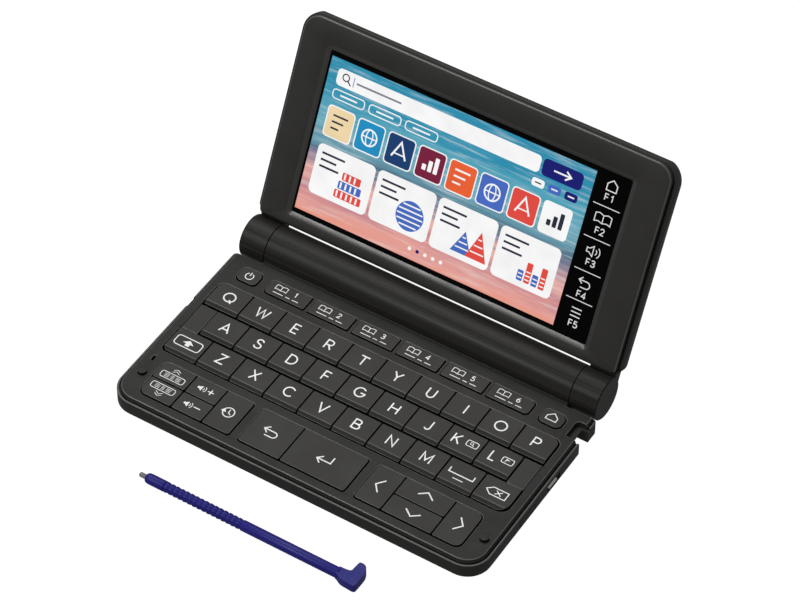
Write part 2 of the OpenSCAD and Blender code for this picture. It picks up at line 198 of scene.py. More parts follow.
def plastic(name, colour, rough=0.5, grain=5200, bump=0.05, spec=0.35, vary=0.12, panel=None, barrel=None):
    """Moulded plastic: fine spark-eroded grain, faint unevenness of tone and of gloss.
    panel is the tone of the blank panels in the deck, barrel the roughness of the polished hinge barrel."""
    m, nt, bs = new_mat(name)
    tc = nt.nodes.new("ShaderNodeTexCoord")
    n1 = nt.nodes.new("ShaderNodeTexNoise")
    n1.inputs["Scale"].default_value = grain
    n1.inputs["Detail"].default_value = 3
    n2 = nt.nodes.new("ShaderNodeTexNoise")
    n2.inputs["Scale"].default_value = 90
    n2.inputs["Detail"].default_value = 4
    for n in (n1, n2):
        nt.links.new(tc.outputs["Object"], n.inputs["Vector"])
    ramp = nt.nodes.new("ShaderNodeValToRGB")
    ramp.color_ramp.elements[0].position = 0.3
    ramp.color_ramp.elements[1].position = 0.7
    ramp.color_ramp.elements[0].color = tuple(c * (1 - vary) for c in colour[:3]) + (1,)
    ramp.color_ramp.elements[1].color = tuple(c * (1 + vary) for c in colour[:3]) + (1,)
    mix = nt.nodes.new("ShaderNodeMath")
    mix.operation = "MULTIPLY_ADD"
    mix.inputs[1].default_value = 0.55
    nt.links.new(n1.outputs["Fac"], mix.inputs[0])
    half = nt.nodes.new("ShaderNodeMath")
    half.operation = "MULTIPLY"
    half.inputs[1].default_value = 0.45
    nt.links.new(n2.outputs["Fac"], half.inputs[0])
    nt.links.new(half.outputs[0], mix.inputs[2])
    nt.links.new(mix.outputs[0], ramp.inputs["Fac"])
    sep = nt.nodes.new("ShaderNodeSeparateXYZ")
    nt.links.new(tc.outputs["Object"], sep.inputs[0])
    tone = ramp.outputs["Color"]
    rr = nt.nodes.new("ShaderNodeMapRange")
    rr.inputs["From Min"].default_value = 0.3
    rr.inputs["From Max"].default_value = 0.7
    rr.inputs["To Min"].default_value = rough - 0.05
    rr.inputs["To Max"].default_value = rough + 0.07
    nt.links.new(n2.outputs["Fac"], rr.inputs["Value"])
    gloss, shine = rr.outputs["Result"], None
    if panel:
        mask = times(nt, within(nt, sep, "X", 63.0, 69.75, True), times(
            nt, within(nt, sep, "Y", -9.96, 2.76), within(nt, sep, "Z", 7.3, 7.6)))
        r2 = nt.nodes.new("ShaderNodeValToRGB")
        r2.color_ramp.elements[0].position = 0.3
        r2.color_ramp.elements[1].position = 0.7
        r2.color_ramp.elements[0].color = tuple(c * (1 - vary) for c in panel[:3]) + (1,)
        r2.color_ramp.elements[1].color = tuple(c * (1 + vary) for c in panel[:3]) + (1,)
        nt.links.new(mix.outputs[0], r2.inputs["Fac"])
        mx = nt.nodes.new("ShaderNodeMixRGB")
        nt.links.new(mask, mx.inputs["Fac"])
        nt.links.new(tone, mx.inputs["Color1"])
        nt.links.new(r2.outputs["Color"], mx.inputs["Color2"])
        tone = mx.outputs["Color"]
    if barrel:
        # the barrel is smoother than the deck, with fine lines along it
        mask = within(nt, sep, "Y", 31.45, 48.0)
        low = within(nt, sep, "Z", -1.0, 17.0)
        mask = times(nt, mask, low)
        mp = nt.nodes.new("ShaderNodeMapping")
        mp.inputs["Scale"].default_value = (6, 1150, 1150)
        nt.links.new(tc.outputs["Object"], mp.inputs["Vector"])
        n3 = nt.nodes.new("ShaderNodeTexNoise")
        n3.inputs["Scale"].default_value = 1
        n3.inputs["Detail"].default_value = 2
        nt.links.new(mp.outputs["Vector"], n3.inputs["Vector"])
        r3 = nt.nodes.new("ShaderNodeMapRange")
        r3.inputs["From Min"].default_value = 0.35
        r3.inputs["From Max"].default_value = 0.65
        r3.inputs["To Min"].default_value = barrel - 0.07
        r3.inputs["To Max"].default_value = barrel + 0.1
        nt.links.new(n3.outputs["Fac"], r3.inputs["Value"])
        r4 = nt.nodes.new("ShaderNodeValToRGB")
        r4.color_ramp.elements[0].position = 0.36
        r4.color_ramp.elements[1].position = 0.64
        r4.color_ramp.elements[0].color = tuple(c * 0.6 for c in BARREL_TONE[:3]) + (1,)
        r4.color_ramp.elements[1].color = tuple(c * 1.5 for c in BARREL_TONE[:3]) + (1,)
        nt.links.new(n3.outputs["Fac"], r4.inputs["Fac"])
        m2 = nt.nodes.new("ShaderNodeMixRGB")
        nt.links.new(mask, m2.inputs["Fac"])
        nt.links.new(tone, m2.inputs["Color1"])
        nt.links.new(r4.outputs["Color"], m2.inputs["Color2"])
        tone = m2.outputs["Color"]
        mr = nt.nodes.new("ShaderNodeMapRange")
        nt.links.new(mask, mr.inputs["Value"])
        nt.links.new(gloss, mr.inputs["To Min"])
        nt.links.new(r3.outputs["Result"], mr.inputs["To Max"])
        gloss = mr.outputs["Result"]
        ms = nt.nodes.new("ShaderNodeMapRange")
        ms.inputs["To Min"].default_value = spec
        ms.inputs["To Max"].default_value = spec * 0.62
        nt.links.new(mask, ms.inputs["Value"])
        shine = ms.outputs["Result"]
    nt.links.new(tone, bs.inputs["Base Color"])
    nt.links.new(gloss, bs.inputs["Roughness"])
    bp = nt.nodes.new("ShaderNodeBump")
    bp.inputs["Strength"].default_value = bump
    bp.inputs["Distance"].default_value = 0.0001
    nt.links.new(n1.outputs["Fac"], bp.inputs["Height"])
    nt.links.new(bp.outputs["Normal"], bs.inputs["Normal"])
    bs.inputs["Specular IOR Level"].default_value = spec
    if shine:
        nt.links.new(shine, bs.inputs["Specular IOR Level"])
    return m


def ink(name, colour, rough=0.6):
    """Printed legend: slightly uneven screen-print ink, made to glow faintly: painted light."""
    m, nt, bs = new_mat(name)
    tc = nt.nodes.new("ShaderNodeTexCoord")
    n1 = nt.nodes.new("ShaderNodeTexNoise")
    n1.inputs["Scale"].default_value = 3000
    nt.links.new(tc.outputs["Object"], n1.inputs["Vector"])
    ramp = nt.nodes.new("ShaderNodeValToRGB")
    ramp.color_ramp.elements[0].position = 0.25
    ramp.color_ramp.elements[1].position = 0.6
    ramp.color_ramp.elements[0].color = tuple(c * 0.9 for c in colour[:3]) + (1,)
    ramp.color_ramp.elements[1].color = colour
    nt.links.new(n1.outputs["Fac"], ramp.inputs["Fac"])
    nt.links.new(ramp.outputs["Color"], bs.inputs["Base Color"])
    bs.inputs["Roughness"].default_value = rough
    bs.inputs["Specular IOR Level"].default_value = 0.3
    # faint glow of the ink, though it is no lamp: painted light
    nt.links.new(ramp.outputs["Color"], bs.inputs["Emission Color"])
    bs.inputs["Emission Strength"].default_value = 0.34
    return m


def metal(name, colour, rough):
    m, nt, bs = new_mat(name)
    bs.inputs["Metallic"].default_value = 1
    tc = nt.nodes.new("ShaderNodeTexCoord")
    mp = nt.nodes.new("ShaderNodeMapping")
    mp.inputs["Scale"].default_value = (60, 4000, 4000)
    n1 = nt.nodes.new("ShaderNodeTexNoise")
    n1.inputs["Scale"].default_value = 1
    nt.links.new(tc.outputs["Object"], mp.inputs["Vector"])
    nt.links.new(mp.outputs["Vector"], n1.inputs["Vector"])
    ramp = nt.nodes.new("ShaderNodeValToRGB")
    ramp.color_ramp.elements[0].color = tuple(c * 0.8 for c in colour[:3]) + (1,)
    ramp.color_ramp.elements[1].color = colour
    nt.links.new(n1.outputs["Fac"], ramp.inputs["Fac"])
    nt.links.new(ramp.outputs["Color"], bs.inputs["Base Color"])
    rr = nt.nodes.new("ShaderNodeMapRange")
    rr.inputs["To Min"].default_value = rough - 0.08
    rr.inputs["To Max"].default_value = rough + 0.1
    nt.links.new(n1.outputs["Fac"], rr.inputs["Value"])
    nt.links.new(rr.outputs["Result"], bs.inputs["Roughness"])
    return m


def glow(name, colour, strength=1.0):
    """A lit area of the screen, seen through the glossy cover glass."""
    m, nt, bs = new_mat(name)
    tc = nt.nodes.new("ShaderNodeTexCoord")
    n1 = nt.nodes.new("ShaderNodeTexNoise")
    n1.inputs["Scale"].default_value = 140
    n1.inputs["Detail"].default_value = 5
    nt.links.new(tc.outputs["Object"], n1.inputs["Vector"])
    ramp = nt.nodes.new("ShaderNodeValToRGB")
    ramp.color_ramp.elements[0].position = 0.3
    ramp.color_ramp.elements[1].position = 0.7
    ramp.color_ramp.elements[0].color = tuple(c * 0.94 for c in colour[:3]) + (1,)
    ramp.color_ramp.elements[1].color = tuple(min(1.0, c * 1.03) for c in colour[:3]) + (1,)
    nt.links.new(n1.outputs["Fac"], ramp.inputs["Fac"])
    nt.links.new(ramp.outputs["Color"], bs.inputs["Emission Color"])
    bs.inputs["Base Color"].default_value = (0.002, 0.002, 0.003, 1)
    bs.inputs["Emission Strength"].default_value = strength
    bs.inputs["Roughness"].default_value = 0.12
    bs.inputs["Specular IOR Level"].default_value = 0.2
    return m


case_m = plastic("case_plastic", srgb(39, 38, 36), rough=0.5, spec=0.3, panel=KEY_TONE, barrel=0.4)
# the lid is the case plastic given a lighter tone: painted light, as its face gets less light than the deck
lid_lightened_m = plastic("lid_plastic_lightened", srgb(54, 53, 51), rough=0.45, spec=0.3, barrel=0.4)
# glossy edge plastic with a much lighter tone than the case: partly real gloss, partly a painted highlight on the
# rounded edges
case_edge_highlight_m = plastic("glossy_edge_painted_highlight", srgb(92, 91, 88), rough=0.34, bump=0.02, spec=0.8, barrel=0.4)
# lighter tone for the top rim of the lower case: painted highlight along the lip
rim_highlight_m = plastic("case_rim_painted_highlight", srgb(80, 79, 76), rough=0.4, bump=0.02, spec=0.5)
# darker tone for the front slopes of the keys: painted shade, the slopes are the same key plastic
slope_shade_m = plastic("key_slope_painted_shade", srgb(43, 42, 40), rough=0.55, grain=4600, bump=0.06, spec=0.2)
# near-black side walls of the keys: painted shade, standing in for the dark gaps around the keys
wall_shade_m = plastic("key_wall_painted_shade", srgb(16, 16, 15), rough=0.7, grain=4600, bump=0.06, spec=0.08)
# lighter, glossier bevel plastic for the keys: partly real gloss, partly a painted highlight on the key edges and
# creases
key_edge_m = plastic("key_edge", srgb(76, 75, 72), rough=0.36, bump=0.02, spec=0.6)
key_m = plastic("key_plastic", KEY_TONE, rough=0.5, grain=4600, bump=0.06, spec=0.3)
rubber_m = plastic("pad_rubber", srgb(41, 40, 38), rough=0.52, grain=3500, bump=0.06, spec=0.3)
# near-black sides of the deck nubs: painted shade, the nubs are the case-coloured rubber
pad_side_shade_m = plastic("pad_side_painted_shade", srgb(14, 14, 13), rough=0.7, grain=2500, bump=0.06, spec=0.08)
silicone_m = plastic("silicone", srgb(12, 12, 12), rough=0.6, grain=900, bump=0.05, spec=0.1)
board_m = plastic("board_green", srgb(14, 40, 26), rough=0.4, grain=700, bump=0.1, vary=0.3)
chip_m = plastic("chip_black", srgb(12, 12, 13), rough=0.45, grain=900, bump=0.05, spec=0.15)
cell_m = plastic("cell_sleeve", srgb(60, 95, 90), rough=0.3, grain=400, bump=0.02, vary=0.05)
steel_m = metal("turned_steel", (0.62, 0.61, 0.6, 1), 0.28)
# white legends, glowing faintly: painted light
white_glowing_ink_m = ink("legend_white_glowing", srgb(232, 232, 230))
# light grey, glowing lip inside the data socket: a painted glint on the socket's metal lip
socket_lip_glint_m = ink("socket_lip_painted_glint", srgb(182, 182, 179))
stylus_m = plastic("stylus_violet", srgb(31, 28, 132), rough=0.4, grain=3500, bump=0.05, spec=0.3, vary=0.08)
tip_m = plastic("stylus_tip_grey", srgb(128, 128, 128), rough=0.42, grain=3500, bump=0.04)
black_m = plastic("window_black", (0.0008, 0.0008, 0.001, 1), rough=0.12, grain=60, bump=0.0, spec=0.08, vary=0.02)
# glossier window bevel in a tone lighter than the lid plastic: partly real gloss, partly painted highlight
bezel_bevel_highlight_m = plastic("window_bevel_painted_highlight", srgb(60, 59, 57), rough=0.3, grain=5200, bump=0.0, spec=0.6)


def finish(node, mats, width, seg=2, angle=30, edge=None, clamp=True):
    """Gives a CAD node its material and soft moulded edges."""
    o = NODES[node]
    me = o.data
    me.materials.clear()
    mats = (mats if isinstance(mats, list) else [mats]) + ([edge] if edge else [])
    for m in mats:
        me.materials.append(m)
    me.polygons.foreach_set("material_index", [0] * len(me.polygons))
    me.polygons.foreach_set("use_smooth", [True] * len(me.polygons))
    if "custom_normal" in me.attributes:
        me.attributes.remove(me.attributes["custom_normal"])
    w = o.modifiers.new("weld", "WELD")
    w.merge_threshold = 2e-6
    b = o.modifiers.new("soft_edges", "BEVEL")
    b.width = width * MM
    b.segments = seg
    b.limit_method = "ANGLE"
    b.angle_limit = math.radians(angle)
    b.harden_normals = clamp
    b.use_clamp_overlap = clamp
    b.loop_slide = clamp
    # bevel faces take the edge material; the edge materials passed in are lighter than their surfaces, a painted
    # highlight
    if edge:
        b.material = len(mats) - 1
    if not clamp:
        e = o.modifiers.new("even_normals", "WEIGHTED_NORMAL")
        e.weight = 100
        e.keep_sharp = False
    return o


def paint(node, slot_of):
    """Chooses the material slot of each face from the face's middle, in millimetres."""
    for f in NODES[node].data.polygons:
        c = f.center / MM
        f.material_index = slot_of(c, f.normal)


def lid_place(c):
    """x, s, h of a point on the lid, in millimetres."""
    y, z = c.y - AXIS_Y, c.z - AXIS_Z
    return c.x, y * math.cos(TH) + z * math.sin(TH), -y * math.sin(TH) + z * math.cos(TH)


LID_N = Vector((0, -math.sin(TH), math.cos(TH)))


# slot 1 is the window bevel and slot 2 the rounded top edge of the bezel, both in lighter plastics: painted highlights
def bevel_slot(c, n):
    x, s_, h = lid_place(c)
    inside = -62.9 < x < 61.9 and 12.8 < s_ < 79.55 and -1.2 < h < -0.35
    if inside:
        return 1 if abs(n.dot(LID_N)) < 0.97 else 0
    return 2 if -1.1 < h < -0.39 and 0.15 < n.dot(LID_N) < 0.97 else 0


def board_slot(c, n):
    # slot 3 is the socket lip, in the glowing light grey painted glint
    if c.x > 73.5 and c.z < 2.3 and -0.7 < c.y < 4.7:
        return 3
    if c.x > 65.25:
        return 2 if 66.3 < c.x and 2.8 < c.z < 3.4 and -0.5 < c.y < 4.5 else 1
    if c.z < 5.3 or c.x < -65.95:
        return 2
    return 0


finish("lower_case", [case_m, rim_highlight_m], 0.12)
# the rounded and flat top rim of the lower case gets the painted highlight
paint("lower_case", lambda c, n: 1 if 5.86 < c.z < 6.1 and n.z > 0.1 else 0)
finish("upper_case", case_m, 0.2, 3, edge=case_edge_highlight_m, clamp=False)
finish("battery_cover", case_m, 0.1)
finish("lid_cover", lid_lightened_m, 0.12)
finish("lid_bezel", [lid_lightened_m, bezel_bevel_highlight_m, case_edge_highlight_m], 0.1)
paint("lid_bezel", bevel_slot)
finish("display_panel", black_m, 0.1)
finish("rubber_pads", [rubber_m, pad_side_shade_m], 0.1)
# side faces of the deck nubs get the painted shade
paint("rubber_pads", lambda c, n: 1 if abs(n.z) < 0.4 and c.z > 6 else 0)
finish("key_membrane", silicone_m, 0.05, 1)
finish("main_board", [board_m, steel_m, chip_m, socket_lip_glint_m], 0.05, 1)
paint("main_board", board_slot)
finish("battery_cells", cell_m, 0.2)
finish("steel_fittings", steel_m, 0.05)
KEYS = [n for n in NODES if n.startswith("key_") and n != "key_membrane"]
for k in KEYS:
    finish(k, [key_m, slope_shade_m, wall_shade_m], 0.15, 3, 18, edge=key_edge_m, clamp=False)
    # slots by face direction: flat tops keep the key plastic, slopes facing up get the painted shade, side walls the
    # near-black painted shade
    paint(k, lambda c, n: 0 if abs(n.z) > 0.97 else 1 if n.z > 0.3 else 2)

# ---------------------------------------------------------------- legends
CAP = 4.15                      # letter height between stroke centres
LINE = 0.56
Z0, Z1 = KEY_TOP - 0.01, KEY_TOP + 0.015

GLYPHS = {
    "A": [[(0, 0), (0.42, 1), (0.84, 0)], [(0.13, 0.32), (0.71, 0.32)]],
    "B": [[(0, -0.06), (0, 1), (0.36, 1)] + arc(0.36, 0.76, 0.24, 0.24, 90, -90, 10)[1:] + [(0.04, 0.52)],
          [(0.3, 0.52), (0.4, 0.52)] + arc(0.4, 0.26, 0.27, 0.26, 90, -90, 10)[1:] + [(0.02, 0)]],
    "C": [arc(0.48, 0.5, 0.48, 0.5, 42, 318, 26)],
    "D": [[(0, -0.06), (0, 1), (0.3, 1)] + arc(0.3, 0.5, 0.46, 0.5, 90, -90, 18)[1:] + [(0.02, 0)]],
    "E": [[(0.56, 1), (0, 1), (0, 0), (0.58, 0)], [(0, 0.52), (0.52, 0.52)]],
    "F": [[(0.54, 1), (0, 1), (0, 0)], [(0, 0.5), (0.49, 0.5)]],
    "G": [arc(0.48, 0.5, 0.48, 0.5, 45, 352, 28) + [(0.96, 0.46), (0.55, 0.46)]],
    "H": [[(0, 0), (0, 1)], [(0.72, 0), (0.72, 1)], [(0, 0.52), (0.72, 0.52)]],
    "I": [[(0, 0), (0, 1)]],
    "J": [[(0.44, 1), (0.44, 0.26)] + arc(0.2, 0.26, 0.24, 0.26, 0, -150, 12)[1:]],
    "K": [[(0, 0), (0, 1)], [(0.62, 1), (0.02, 0.38)], [(0.2, 0.56), (0.66, 0)]],
    "L": [[(0, 1), (0, 0), (0.5, 0)]],
    "M": [[(0, 0), (0, 1), (0.42, 0.22), (0.84, 1), (0.84, 0)]],
    "N": [[(0, 0), (0, 1), (0.7, 0), (0.7, 1)]],
    "O": ["ring", (0.5, 0.5, 0.52, 0.5)],
    "P": [[(0, 0), (0, 1), (0.34, 1)] + arc(0.34, 0.73, 0.27, 0.27, 90, -90, 12)[1:] + [(0, 0.46)]],
    "Q": ["ring", (0.5, 0.5, 0.52, 0.5), [(0.62, 0.26), (0.9, -0.1)]],
    "R": [[(0, 0), (0, 1), (0.34, 1)] + arc(0.34, 0.73, 0.27, 0.27, 90, -90, 12)[1:] + [(0, 0.46)],
          [(0.3, 0.46), (0.64, 0)]],
    "S": [smooth_line([(0.6, 0.82), (0.5, 0.95), (0.32, 1.0), (0.13, 0.94), (0.05, 0.77), (0.13, 0.61),
                       (0.33, 0.52), (0.53, 0.43), (0.62, 0.26), (0.54, 0.08), (0.32, 0.0), (0.11, 0.05),
                       (0.0, 0.2)], 4)],
    "T": [[(0, 1), (0.8, 1)], [(0.4, 1), (0.4, 0)]],
    "U": [[(0, 1), (0, 0.34)] + arc(0.34, 0.34, 0.34, 0.34, 180, 360, 16)[1:] + [(0.68, 1)]],
    "V": [[(0, 1), (0.41, 0), (0.82, 1)]],
    "W": [[(0, 1), (0.28, 0), (0.56, 0.96), (0.84, 0), (1.12, 1)]],
    "X": [[(0, 0), (0.72, 1)], [(0, 1), (0.72, 0)]],
    "Y": [[(0, 1), (0.39, 0.46), (0.78, 1)], [(0.39, 0.48), (0.39, 0)]],
    "Z": [[(0.03, 1), (0.7, 1), (0, 0), (0.74, 0)]],
    "1": [[(0, 0.78), (0.26, 1), (0.26, 0)]],
    "2": [smooth_line([(0.02, 0.76), (0.1, 0.93), (0.3, 1.0), (0.5, 0.93), (0.58, 0.74), (0.48, 0.52),
                       (0.24, 0.26)], 4) + [(0, 0), (0.6, 0)]],
    "3": [smooth_line([(0.02, 0.84), (0.14, 0.96), (0.3, 1.0), (0.48, 0.93), (0.54, 0.76), (0.46, 0.6),
                       (0.26, 0.53), (0.48, 0.45), (0.58, 0.27), (0.5, 0.08), (0.28, 0.0), (0.1, 0.04),
                       (0.0, 0.18)], 4)],
    "4": [[(0.46, 0), (0.46, 1), (0, 0.28), (0.64, 0.28)]],
    "5": [[(0.52, 1), (0.1, 1), (0.06, 0.56)] + smooth_line([(0.06, 0.56), (0.28, 0.62), (0.5, 0.52),
          (0.58, 0.31), (0.5, 0.09), (0.27, 0.0), (0.08, 0.05), (0.0, 0.18)], 4)[1:]],
    "6": [smooth_line([(0.48, 1), (0.2, 0.74), (0.03, 0.42), (0.02, 0.26), (0.12, 0.06), (0.3, 0.0),
                       (0.5, 0.07), (0.58, 0.29), (0.5, 0.5), (0.3, 0.58), (0.12, 0.5), (0.03, 0.36)], 4)],
}


def glyph_width(g):
    xs = []
    for part in GLYPHS[g]:
        if isinstance(part, tuple):
            xs += [part[0] - part[2], part[0] + part[2]]
        elif part != "ring":
            xs += [q[0] for q in part]
    return min(xs), max(xs)


def glyph(b, g, x, y, size, w, z0, z1, mat=0, centre=True):
    lo, hi = glyph_width(g)
    x0 = x - (lo + hi) / 2 * size if centre else x
    y0 = y - size / 2
    for part in GLYPHS[g]:
        if part == "ring":
            continue
        if isinstance(part, tuple):
            b.stroke([(x0 + q[0] * size, y0 + q[1] * size) for q in ring(*part)], w, z0, z1, True, mat)
        else:
            b.stroke([(x0 + q[0] * size, y0 + q[1] * size) for q in part], w, z0, z1, False, mat)


class Mark:
    """Strokes of one legend on a key top."""

    def __init__(self):
        self.b = Build(flat)

    def line(self, pts, w=0.42, closed=False):
        self.b.stroke(pts, w, Z0, Z1, closed)

    def fill(self, pts):
        self.b.prism(pts, Z0, Z1)


ROWS = [("QWERTYUIOP", -5, 10.22), ("ASDFGHJKL", -4.5, -2.58), ("ZXCVBNM", -4, -15.45)]
for letters, n0, cy in ROWS:
    for i, g in enumerate(letters):
        mk = Mark()
        cx = (n0 + i + 0.5) * P
        if g in "KL":
            cx = 39.2 if g == "K" else 53.6
        glyph(mk.b, g, cx, cy, CAP, LINE, Z0, Z1)
        if g == "K":                       # small lens in a frame
            mk.line(round_rect(42.9, -3.4, 47.2, -0.85, 0.6), 0.3, True)
            mk.line(ring(44.8, -1.95, 0.55, 0.55, 16), 0.24, True)
            mk.line([(45.2, -2.35), (45.8, -2.95)], 0.26)
        if g == "L":                       # small flag in a frame
            mk.line(round_rect(56.9, -3.4, 61.2, -0.85, 0.6), 0.3, True)
            mk.line([(58.3, -2.95), (58.3, -1.3)], 0.24)
            mk.fill([(58.3, -2.1), (59.9, -1.75), (58.3, -1.35)])
        mk.b.make("legend_" + g.lower(), "key_%s_cap" % g.lower(), [white_glowing_ink_m])


def legend(key, draw):
    mk = Mark()
    draw(mk)
    mk.b.make("legend_" + key, "key_%s_cap" % key, [white_glowing_ink_m])


def d_power(k):
    k.line(arc(-62.75, 22.55, 1.5, 1.5, 118, 422, 26), 0.38)
    k.line([(-62.75, 22.75), (-62.75, 24.55)], 0.38)


def d_home(k):
    k.line([(59.75, 21.5), (59.75, 23.15), (61.75, 24.85), (63.75, 23.15), (63.75, 21.5)], 0.36, True)


def d_shift(k):
    k.line(round_rect(-67.9, -17.85, -57.6, -13.45, 1.1), 0.38, True)
    k.fill([(-62.75, -14.25), (-64.95, -15.85), (-63.6, -15.85), (-63.6, -17.05), (-61.9, -17.05), (-61.9, -15.85),
            (-60.55, -15.85)])


def d_space(k):
    k.line([(44.2, -14.2), (44.2, -16.2), (53.6, -16.2), (53.6, -14.2)], 0.45)
    k.line([(46.9, -18.2), (50.9, -18.2)], 0.34)


def d_delete(k):
    k.line([(59.0, -15.95), (61.0, -14.3), (66.9, -14.3), (66.9, -17.6), (61.0, -17.6)], 0.38, True)
    k.line([(62.6, -16.85), (64.9, -15.05)], 0.36)
    k.line([(62.6, -15.05), (64.9, -16.85)], 0.36)


def page(k, y0, y1, up):
    k.line(round_rect(-63.15, y0, -53.7, y1, 0.8), 0.28, True)
    ym = (y0 + y1) / 2
    # a page with ruled lines
    for x, w in ((-61.7, 1.9), (-59.1, 1.3), (-57.1, 1.9)):
        for q in (-0.6, 0.0, 0.6):
            k.line([(x, ym + q), (x + w, ym + q)], 0.2)
    s, y = (1, y1 + 0.8) if up else (-1, y0 - 0.8)
    for d in (0, 0.9):
        k.line([(-59.85, y + s * d), (-58.45, y + s * (d + 0.8)), (-57.05, y + s * d)], 0.22)


def speaker(k, x, y):
    k.fill([(x, y - 0.45), (x + 0.75, y - 0.45), (x + 1.75, y - 1.2), (x + 1.75, y + 1.2), (x + 0.75, y + 0.45),
            (x, y + 0.45)])
    k.line(arc(x + 1.7, y, 0.85, 0.85, -48, 48, 6), 0.26)
    k.line(arc(x + 1.7, y, 1.65, 1.65, -48, 48, 8), 0.26)


def d_volume_up(k):
    speaker(k, -48.7, -30.3)
    k.line([(-44.5, -30.3), (-42.1, -30.3)], 0.42)
    k.line([(-43.3, -31.5), (-43.3, -29.1)], 0.42)


def d_volume_down(k):
    speaker(k, -48.7, -38.8)
    k.line([(-44.6, -38.8), (-42.0, -38.8)], 0.42)


def d_history(k):
    k.line(arc(-33.1, -34.5, 2.1, 2.1, 150, -175, 28), 0.4)
    k.fill([(-36.1, -34.9), (-34.0, -34.9), (-35.1, -33.3)][::1])
    k.line([(-33.1, -33.1), (-33.1, -34.6), (-32.0, -35.3)], 0.36)


def d_back(k):
    k.line([(-18.6, -33.6), (-14.5, -33.6)] + arc(-14.5, -34.9, 1.3, 1.3, 90, -90, 10)[1:] + [(-17.4, -36.2)], 0.45)
    k.line([(-17.1, -32.1), (-18.8, -33.6), (-17.1, -35.1)], 0.45)


def d_enter(k):
    k.line([(8.9, -32.3), (8.9, -35.2), (3.6, -35.2)], 0.48)
    k.line([(5.3, -33.6), (3.5, -35.2), (5.3, -36.8)], 0.48)


def d_left(k):
    k.line([(28.95, -31.45), (26.55, -34.35), (28.95, -37.25)], 0.5)


def d_right(k):
    k.line([(58.55, -31.45), (60.95, -34.35), (58.55, -37.25)], 0.5)


def d_up(k):
    k.line([(40.85, -30.45), (43.75, -28.25), (46.65, -30.45)], 0.5)


def d_down(k):
    k.line([(40.85, -37.95), (43.75, -40.15), (46.65, -37.95)], 0.5)


for name, draw in (("power", d_power), ("home", d_home), ("shift", d_shift), ("space", d_space),
                   ("delete", d_delete), ("volume_up", d_volume_up), ("volume_down", d_volume_down),
                   ("history", d_history), ("back", d_back), ("enter", d_enter), ("left", d_left),
                   ("right", d_right), ("up", d_up), ("down", d_down),
                   ("page_up", lambda k: page(k, -33.0, -30.3, True)),
                   ("page_down", lambda k: page(k, -38.75, -36.05, False))):
    legend(name, draw)


def d_func(i):
    x = -54.65 + 18.35 * i + 8.3

    def draw(k):
        # open book beside a number, over two ruled lines
        a, c = x - 3.3, 23.55
        for s in (-1, 1):
            k.line([(a, c - 1.05), (a + s * 1.25, c - 0.75), (a + s * 2.3, c - 1.0), (a + s * 2.3, c + 1.05),
                    (a + s * 1.25, c + 1.25), (a, c + 0.9)], 0.26)
        k.line([(a, c - 1.05), (a, c + 0.9)], 0.26)
        glyph(k.b, str(i + 1), x + 2.6, c, 2.0, 0.34, Z0, Z1)
        k.line([(x - 5.4, 20.95), (x - 1.2, 20.95)], 0.3)
        k.line([(x - 0.2, 20.95), (x + 1.6, 20.95)], 0.3)
        k.line([(x + 2.6, 20.95), (x + 5.2, 20.95)], 0.3)
    return draw


for i in range(6):
    legend("func_%d" % (i + 1), d_func(i))

# ---------------------------------------------------------------- screen picture
SX0, SX1, SS0, SS1 = -60.1, 46.5, 16.55, 75.7       # lit area
H = -1.2


def sky_material():
    m, nt, bs = new_mat("screen_sky")
    bs.inputs["Base Color"].default_value = (0.002, 0.002, 0.003, 1)
    bs.inputs["Roughness"].default_value = 0.12
    bs.inputs["Specular IOR Level"].default_value = 0.2
    tc = nt.nodes.new("ShaderNodeTexCoord")
    sep = nt.nodes.new("ShaderNodeSeparateXYZ")
    nt.links.new(tc.outputs["Generated"], sep.inputs[0])
    def cloud(scale, detail, rough):
        mp = nt.nodes.new("ShaderNodeMapping")
        mp.inputs["Scale"].default_value = scale
        nt.links.new(tc.outputs["Generated"], mp.inputs["Vector"])
        noise = nt.nodes.new("ShaderNodeTexNoise")
        noise.inputs["Scale"].default_value = 1
        noise.inputs["Detail"].default_value = detail
        noise.inputs["Roughness"].default_value = rough
        nt.links.new(mp.outputs["Vector"], noise.inputs["Vector"])
        return noise.outputs["Fac"]

    ma = nt.nodes.new("ShaderNodeMath")
    ma.operation = "MULTIPLY_ADD"
    ma.inputs[1].default_value = 0.34
    nt.links.new(cloud((3.4, 10, 10), 7, 0.62), ma.inputs[0])
    nt.links.new(sep.outputs["Z"], ma.inputs[2])
    ramp = nt.nodes.new("ShaderNodeValToRGB")
    cr = ramp.color_ramp
    stops = [(0.12, srgb(232, 150, 126)), (0.24, srgb(226, 158, 150)), (0.34, srgb(196, 134, 140)),
             (0.44, srgb(232, 176, 166)), (0.52, srgb(150, 130, 150)), (0.6, srgb(78, 112, 134)),
             (0.72, srgb(112, 170, 186)), (0.9, srgb(72, 158, 182)), (1.14, srgb(44, 140, 172))]
    cr.elements[0].position, cr.elements[0].color = stops[0][0], stops[0][1]
    cr.elements[1].position, cr.elements[1].color = 1.0, stops[-1][1]
    for pos, col in stops[1:-1]:
        el = cr.elements.new(pos)
        el.color = col
    nt.links.new(ma.outputs[0], ramp.inputs["Fac"])
    # pale wisps
    wr = nt.nodes.new("ShaderNodeMapRange")
    wr.inputs["From Min"].default_value = 0.5
    wr.inputs["From Max"].default_value = 0.72
    wr.inputs["To Max"].default_value = 0.5
    nt.links.new(cloud((5, 26, 26), 8, 0.66), wr.inputs["Value"])
    wm = nt.nodes.new("ShaderNodeMixRGB")
    wm.inputs["Color2"].default_value = srgb(226, 232, 232)
    nt.links.new(wr.outputs["Result"], wm.inputs["Fac"])
    nt.links.new(ramp.outputs["Color"], wm.inputs["Color1"])
    nt.links.new(wm.outputs["Color"], bs.inputs["Emission Color"])
    bs.inputs["Emission Strength"].default_value = 1.0
    return m


